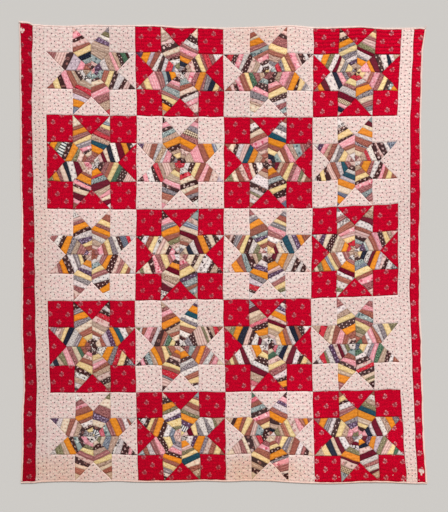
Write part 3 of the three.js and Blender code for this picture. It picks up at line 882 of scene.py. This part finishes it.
def figured_print(graph, x, y, uv, ground, motif, accent):
    figure = graph.ramp(graph.noise(uv, 190.0, 2.0, 0.5), 0.52, 0.58)
    other = graph.ramp(graph.noise(uv, 330.0, 1.0, 0.5), 0.58, 0.66)
    return graph.mix(other, graph.mix(figure, ground, motif), accent)


def flowered_print(graph, x, y, uv, ground, motif, accent):
    cells = graph.node("TexVoronoi", {"Vector": uv, "Scale": 95.0, "Randomness": 0.8})
    near = cells.outputs["Distance"]
    tint = graph.node("SeparateColor", {0: cells.outputs["Color"]}).outputs[0]
    chosen = graph.mix(graph.ramp(tint, 0.45, 0.55), motif, accent)
    colour = graph.mix(graph.ramp(near, 0.46, 0.38), ground, chosen)
    return graph.mix(graph.ramp(near, 0.20, 0.14), colour, ground)


def lined_print(graph, x, y, uv, ground, motif, accent):
    return graph.mix(graph.ramp(graph.off_line(x, 0.0042), 0.0022, 0.0014), ground, motif)


def string_material(kind, paint):
    graph = Graph(f"string_cloth_{kind}")
    tints = [graph.attribute(name, "Color") for name in ("ground", "motif", "accent")]
    colour = paint(graph, *graph.place("print"), *tints)
    # Painted seam shade: the strings are darkened along their seams.
    seam = graph.mix(1.0, colour, graph.colour(SEAM_SHADE_TINT), "MULTIPLY")
    return finish_cloth(graph, graph.over(colour, graph.attribute("rim"), 0.5, seam))


def red_material():
    """The red ground with its small sprays: slanting strokes over a dark heart, and small blooms about them.

    The accent attribute says how pale the sprays are.
    """
    graph = Graph("red_sprigged_cotton")
    x, y, uv = graph.place("print")
    cloud = graph.noise(uv, 55.0, 3.0, 0.6)
    fine = graph.noise(uv, 190.0, 3.0, 0.7)
    slanted = graph.node("VectorRotate", {0: uv, "Angle": 0.8}).outputs[0]
    fleck = graph.noise(slanted, 230.0, 2.0, 0.6)
    ground = graph.mix(graph.ramp(cloud, 0.35, 0.7), graph.colour((226, 0, 44)), graph.colour((200, 0, 38)))
    ground = graph.mix(graph.ramp(fine, 0.42, 0.64), ground, graph.colour((147, 0, 25)))
    ground = graph.over(ground, graph.ramp(fleck, 0.54, 0.66), 0.6, graph.colour((236, 18, 60)))
    # the painted shade towards the left and lower left, laid on the red a second time
    ground = graph.mix(1.0, ground, graph.grey(graph.attribute("painted_falloff")), "MULTIPLY")
    # Painted seam shade: the red is darkened towards its seams.
    ground = graph.over(ground, graph.attribute("rim"), 0.65, graph.colour((122, 0, 23)))
    p, q, cell = graph.lattice(x, y, 0.042, 0.077)
    at = graph.jittered(p, q, cell, 0.003)
    chance = graph.chance(cell)[0]
    turn = graph.math("MULTIPLY_ADD", chance, 0.9, -0.45)
    turned = graph.node("VectorRotate", {0: at, "Angle": turn}, rotation_type="Z_AXIS").outputs[0]
    strength = graph.math("MULTIPLY_ADD", chance, 0.5, 0.6)
    pale = graph.attribute("accent")
    bright = graph.mix(pale, graph.colour((228, 120, 132)), graph.colour((252, 190, 194)))
    dull = graph.mix(pale, graph.colour((172, 102, 108)), graph.colour((226, 150, 158)))
    heart = graph.spot(turned, (0.0, 0.0), (0.0098, 0.0078), 0.72, 0.45)
    colour = graph.over(ground, heart, 0.7, graph.colour((128, 34, 46)))
    sprays = [
        # middle, reach and turn of each stroke or bloom, its colour and its share
        ((0.0037, -0.0042), (0.0084, 0.0019), 0.72, dull, 0.9),
        ((-0.0046, 0.0036), (0.0080, 0.0018), 0.72, dull, 0.9),
        ((0.0004, -0.0002), (0.0070, 0.0011), 0.72, dull, 0.5),
        ((-0.0029, 0.0101), (0.0042, 0.0017), 0.2, dull, 0.7),
        ((0.0092, -0.0036), (0.0026, 0.0022), 0.0, bright, 0.6),
        ((-0.0091, 0.0043), (0.0027, 0.0022), 0.3, bright, 0.8),
        ((0.0075, 0.0066), (0.0024, 0.0030), 0.6, bright, 0.6),
        ((0.0029, -0.0101), (0.0031, 0.0024), 0.3, bright, 1.0),
    ]
    for centre, reach, lean, tint, share in sprays:
        mark = graph.spot(turned, centre, reach, lean)
        colour = graph.over(colour, mark, graph.times(strength, share), tint)
    return finish_cloth(graph, colour)


def pink_material():
    """The pale pink ground with its dark dots, small pink dashes and grey specks."""
    graph = Graph("pink_dotted_cotton")
    x, y, uv = graph.place("print")
    cloud = graph.noise(uv, 38.0, 2.0, 0.5)
    mottle = graph.noise(uv, 120.0, 2.0, 0.6)
    pale, rosy = graph.colour((240, 222, 212)), graph.colour((246, 212, 206))
    colour = graph.mix(graph.ramp(cloud, 0.36, 0.64), pale, rosy)
    colour = graph.mix(graph.ramp(mottle, 0.48, 0.72), colour, graph.colour((218, 186, 178)))
    marks = [
        # pitch across and down, start, jitter, reach, turn, share and colour
        (0.0165, 0.0250, (0.0108, 0.004), 0.010, (0.0027, 0.0018), -0.5, 0.8, (212, 112, 124)),
        (0.0190, 0.0270, (0.0050, 0.011), 0.009, (0.0022, 0.0020), 0.3, 0.6, (160, 140, 140)),
        (0.0200, 0.0265, (0.0, 0.0), 0.008, (0.0030, 0.0026), 0.7, 1.0, (92, 76, 84)),
    ]
    for pitch_x, pitch_y, start, jitter, reach, turn, share, ink in marks:
        shifted = (graph.math("ADD", x, start[0]), graph.math("ADD", y, start[1]))
        at = graph.jittered(*graph.lattice(*shifted, pitch_x, pitch_y), jitter)
        mark = graph.spot(at, (0.0, 0.0), reach, turn, 0.3)
        colour = graph.over(colour, mark, share, graph.colour(ink))
    return finish_cloth(graph, graph.over(colour, graph.attribute("rim"), 0.7, graph.colour((252, 228, 222))))


def plain_material(name, base, other):
    graph = Graph(name)
    cloud = graph.noise(graph.place("print")[2], 45.0, 3.0, 0.6)
    colour = graph.mix(graph.ramp(cloud, 0.35, 0.7), graph.colour(base), graph.colour(other))
    return finish_cloth(graph, colour)


def floor_material():
    graph = Graph("pale_floor")
    inputs = {"Base Color": graph.colour((206, 203, 199)), "Roughness": 0.9}
    return graph.shown(graph.node("BsdfPrincipled", inputs))


PRINTS = [plain_print, dotted_print, sprigged_print, striped_print]
PRINTS += [checked_print, figured_print, flowered_print, lined_print]
block_materials = [string_material(kind, paint) for kind, paint in zip(KINDS, PRINTS)]
block_materials += [red_material(), pink_material()]
binding_cloth = plain_material("binding_cotton", (252, 224, 214), (240, 206, 196))
backing_cloth = plain_material("backing_muslin", (230, 220, 203), (222, 210, 192))


# Bindings and backing


def outline_chain(node, side):
    """Outer points of a binding, in order from left to right or from top to bottom."""
    points = underside(node)
    upright = side in ("left", "right")
    order = points[np.argsort(-points[:, 1] if upright else points[:, 0], kind="stable")]
    axis = 0 if upright else 1
    sign = 1 if side in ("right", "top") else -1
    chain = []
    for i in range(0, len(order), 2):
        pair = order[i : i + 2]
        chain.append(pair[np.argmax(sign * pair[:, axis])])
    return np.array(chain)


BINDING_LENGTHS = {"top": 1.957, "right": 2.19, "bottom": 1.957, "left": 2.19}
INWARDS = {"top": (0, -1), "bottom": (0, 1), "left": (1, 0), "right": (-1, 0)}
EAR_INWARDS = [(-0.35, -0.94), (-0.71, -0.70), (-0.78, -0.62), (-0.85, -0.53)]  # near the pointed corner
EAR_WIDTHS = [0.0062, 0.0016]

# The binding's folded section: share of its width inwards and height, round the outside and back inside
OUTER_FOLD = [
    (1.0, 0.0034),
    (0.86, 0.0043),
    (0.62, BINDING_TOP),
    (0.32, BINDING_TOP - 0.0002),
    (0.1, 0.0040),
    (0.0, 0.0026),
    (0.08, 0.0009),
    (0.3, 0.0001),
    (1.0, 0.0),
]
INNER_FOLD = [
    (1.0, CLOTH),
    (0.32, CLOTH + 0.0001),
    (0.16, 0.0013),
    (0.1, 0.0026),
    (0.18, 0.0036),
    (0.36, BINDING_TOP - 0.0007),
    (0.62, BINDING_TOP - CLOTH),
    (0.86, 0.0038),
    (1.0, 0.0029),
]
BINDING_STEP = 0.0065  # from one section to the next
SECTION_STEP = 0.0028  # round the section, for the print


def binding_line(side, number):
    """Along a binding's outer edge: its points, how far along each is, the width and the way inwards."""
    chain = outline_chain(f"binding_{side}", side)
    tip = chain[-1]
    if side == "top":
        chain = chain[:-1]
    length = float(np.abs(chain[-1] - chain[0]).max())
    shares = np.linspace(0, 1, math.ceil(length / BINDING_STEP) + 1)
    line = curve(chain)(shares)
    wobble = waves(40 + number, 8, 0.028, 0.14, 0.0009)
    widths = BINDING_WIDTH + wobble(line[:, 0], line[:, 1])
    inwards = np.tile(np.array(INWARDS[side], float), (len(line), 1))
    if side == "top":
        # the corner's end stands up as a small pointed ear
        line = np.concatenate([line, [(line[-1] + tip) / 2], [tip]])
        shares = np.concatenate([shares, [1.003, 1.007]])
        widths = np.concatenate([widths, EAR_WIDTHS])
        inwards = np.concatenate([inwards[:-2], EAR_INWARDS])
    return line, shares * length, widths, inwards


def make_binding(side, number):
    line, along, widths, inwards = binding_line(side, number)
    lifts = waves(50 + number, 6, 0.012, 0.06, 0.00016)(line[:, 0], line[:, 1])
    section = OUTER_FOLD + INNER_FOLD
    n = len(section)
    points = []
    for at, width, inward, lift in zip(line, widths, inwards, lifts):
        for share, height in section:
            raised = height + (lift if height > 0.002 else 0)
            points.append((*(at + inward * (share * width)), raised))
    cloth = Cloth()
    round_section = np.tile(np.cumsum([0] + [SECTION_STEP] * (n - 1)), len(line))
    print_at = np.column_stack([np.repeat(along, n), round_section])
    cloth.add_plain(np.array(points), print_at, np.full(len(points), 0.5))
    for i in range(len(line) - 1):
        for j in range(n):
            k = (j + 1) % n
            face = (i * n + j, i * n + k, (i + 1) * n + k, (i + 1) * n + j)
            cloth.faces.append(face if side in ("top", "left") else face[::-1])
    for i in (0, len(line) - 1):
        for j in range(len(OUTER_FOLD) - 1):
            cloth.faces.append((i * n + j, i * n + j + 1, i * n + n - 2 - j, i * n + n - 1 - j))
    cloth.slots = [0] * len(cloth.faces)
    return cloth.make(f"folded_binding_{side}", [binding_cloth])


def backing_panel():
    """The backing's outline, which lies inside the fold of the binding."""
    left, right, top, bottom = [
        outline_chain(f"binding_{side}", side) for side in ("left", "right", "top", "bottom")
    ]
    top = top[:-1]
    across, down = np.array([BACKING_INSET, 0]), np.array([0, -BACKING_INSET])
    corners = [
        (left[0][0] + BACKING_INSET, top[0][1] - BACKING_INSET),
        (right[0][0] - BACKING_INSET, top[-1][1] - BACKING_INSET),
        (left[-1][0] + BACKING_INSET, bottom[0][1] + BACKING_INSET),
        (right[-1][0] - BACKING_INSET, bottom[-1][1] + BACKING_INSET),
    ]
    return Panel(top + down, bottom - down, left + across, right - across, 0, RIBS * ROWS, corners)


def make_backing(columns, rows):
    """The whole backing with its batting, drawn in along the quilting lines underneath."""
    panel = backing_panel()
    grid_u, grid_v = np.meshgrid(np.linspace(0, 1, columns + 1), np.linspace(0, 1, rows + 1))
    flat = panel.at(grid_u, grid_v).reshape(-1, 2)
    x, y = flat[:, 0], flat[:, 1]
    rib = (panel.first_rib + grid_v * panel.ribs).ravel()
    swell = np.abs(np.sin(math.pi * rib)) ** 0.8
    rim = np.minimum.reduce([grid_u, 1 - grid_u, grid_v, 1 - grid_v]).ravel() <= 0
    under = DRAWN_UP * (1 - swell) + np.abs(unevenness(x, y)) * 0.5
    under = np.where(rim, CLOTH + 0.0003, np.clip(under, 0.0, MOST_DRAWN_UP))
    over = np.where(rim, BACKING_TOP - 0.0004, BACKING_TOP)
    cloth = Cloth()
    for height in (under, over):
        cloth.add_plain(np.column_stack([x, y, height]), flat, rib, hidden=True)
    count = len(flat)
    number = np.arange(count).reshape(rows + 1, columns + 1)
    a, b = number[:-1, :-1].ravel(), number[:-1, 1:].ravel()
    c, d = number[1:, 1:].ravel(), number[1:, :-1].ravel()
    lower = np.column_stack([a, b, c, d])
    upper = np.column_stack([a, d, c, b]) + count
    edge = np.concatenate([number[0], number[1:, -1], number[-1, -2::-1], number[-2:0:-1, 0]])
    after = np.roll(edge, -1)
    sides = np.column_stack([after, edge, edge + count, after + count])
    cells = np.stack([lower, upper], axis=1).reshape(-1, 4)
    cloth.faces = [*cells.tolist(), *sides.tolist()]
    cloth.slots = [0] * len(cloth.faces)
    return cloth.make("whole_backing", [backing_cloth])


def declare(piece, node):
    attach(piece, "root")
    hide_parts(node)


BACKING_COLUMNS, ROWS_PER_RIB = 110, 3
backing = make_backing(BACKING_COLUMNS, RIBS * ROWS * ROWS_PER_RIB)
declare(backing, "backing")

for row in range(1, ROWS + 1):
    for column in range(1, COLUMNS + 1):
        piece = make_block(row, column, block_materials)
        declare(piece, f"block_r{row}_c{column}")

LEFT_LENGTHS = [(0, 0.0, (0.021, -0.0354)), (0.252, 0.0, (0.027, -0.0714)), (0.5725, 0.0, (-0.0024, -0.022))]
RIGHT_LENGTHS = [(0, 0.0, (-0.0083, 0.0278)), (0.3225, 0.006, (0.012, 0.0426))]
STRIPS = [
    # node, width, red, tone (painted shade, darker on the left), paleness of its sprays, and its lengths with
    # the start, turn and offset of each
    ("strip_left_red", 0.060, True, 0.80, 0.2, LEFT_LENGTHS),
    ("strip_left_pink", 0.066, False, 0.96, 0.0, [(0, 0.0, (0.3, 0.1))]),
    ("strip_right_pink", 0.060, False, 1.0, 0.0, [(0, 0.0, (0.7, 0.2))]),
    ("strip_right_red", 0.046, True, 1.0, 0.55, RIGHT_LENGTHS),
]
for node, width, red, tone_with_painted_light, paleness, lengths in STRIPS:
    piece = make_strip(node, f"side_{node}", red, block_materials, tone_with_painted_light, paleness, lengths)
    declare(piece, node)

for number, (side, length) in enumerate(BINDING_LENGTHS.items()):
    piece = make_binding(side, number)
    declare(piece, f"binding_{side}")


# Floor, light and camera

FLOOR_SIZE, FLOOR_Z = 40, -0.0006
SUN_STRENGTH, SUN_SPREAD, SUN_TURN = 2.5, 12, (-50, 0, -14)  # the last two in degrees
SKY_COLOUR, SKY_STRENGTH = (1.0, 0.995, 0.985, 1), 0.48
CAMERA_HEIGHT = 6.0
SENSOR_WIDTH = 36
PHOTO_WIDTH, PHOTO_HEIGHT = 448, 512

bpy.ops.mesh.primitive_plane_add(size=FLOOR_SIZE, location=(0, 0, FLOOR_Z))
floor = bpy.context.object
floor.name = "floor"
floor.data.materials.append(floor_material())

sun_data = bpy.data.lights.new("key_light", "SUN")
sun_data.energy = SUN_STRENGTH
sun_data.angle = math.radians(SUN_SPREAD)
sun = bpy.data.objects.new("key_light", sun_data)
sun.rotation_euler = [math.radians(turn) for turn in SUN_TURN]
bpy.context.scene.collection.objects.link(sun)

world = bpy.data.worlds.new("soft_studio_light")
world.use_nodes = True
sky = world.node_tree.nodes["Background"]
sky.inputs["Color"].default_value = SKY_COLOUR
sky.inputs["Strength"].default_value = SKY_STRENGTH
bpy.context.scene.world = world
bpy.context.scene.view_settings.view_transform = "Standard"

camera_data = bpy.data.cameras.new("camera")
camera_data.sensor_width = SENSOR_WIDTH
camera_data.lens = SENSOR_WIDTH * CAMERA_HEIGHT / (PHOTO_HEIGHT * PIXEL)
camera_data.clip_end = 100
camera = bpy.data.objects.new("camera", camera_data)
aim_x, aim_y = photo_point(PHOTO_WIDTH / 2, PHOTO_HEIGHT / 2)
camera.location = (aim_x, aim_y, CAMERA_HEIGHT + TOP_Z)
bpy.context.scene.collection.objects.link(camera)
bpy.context.scene.camera = camera
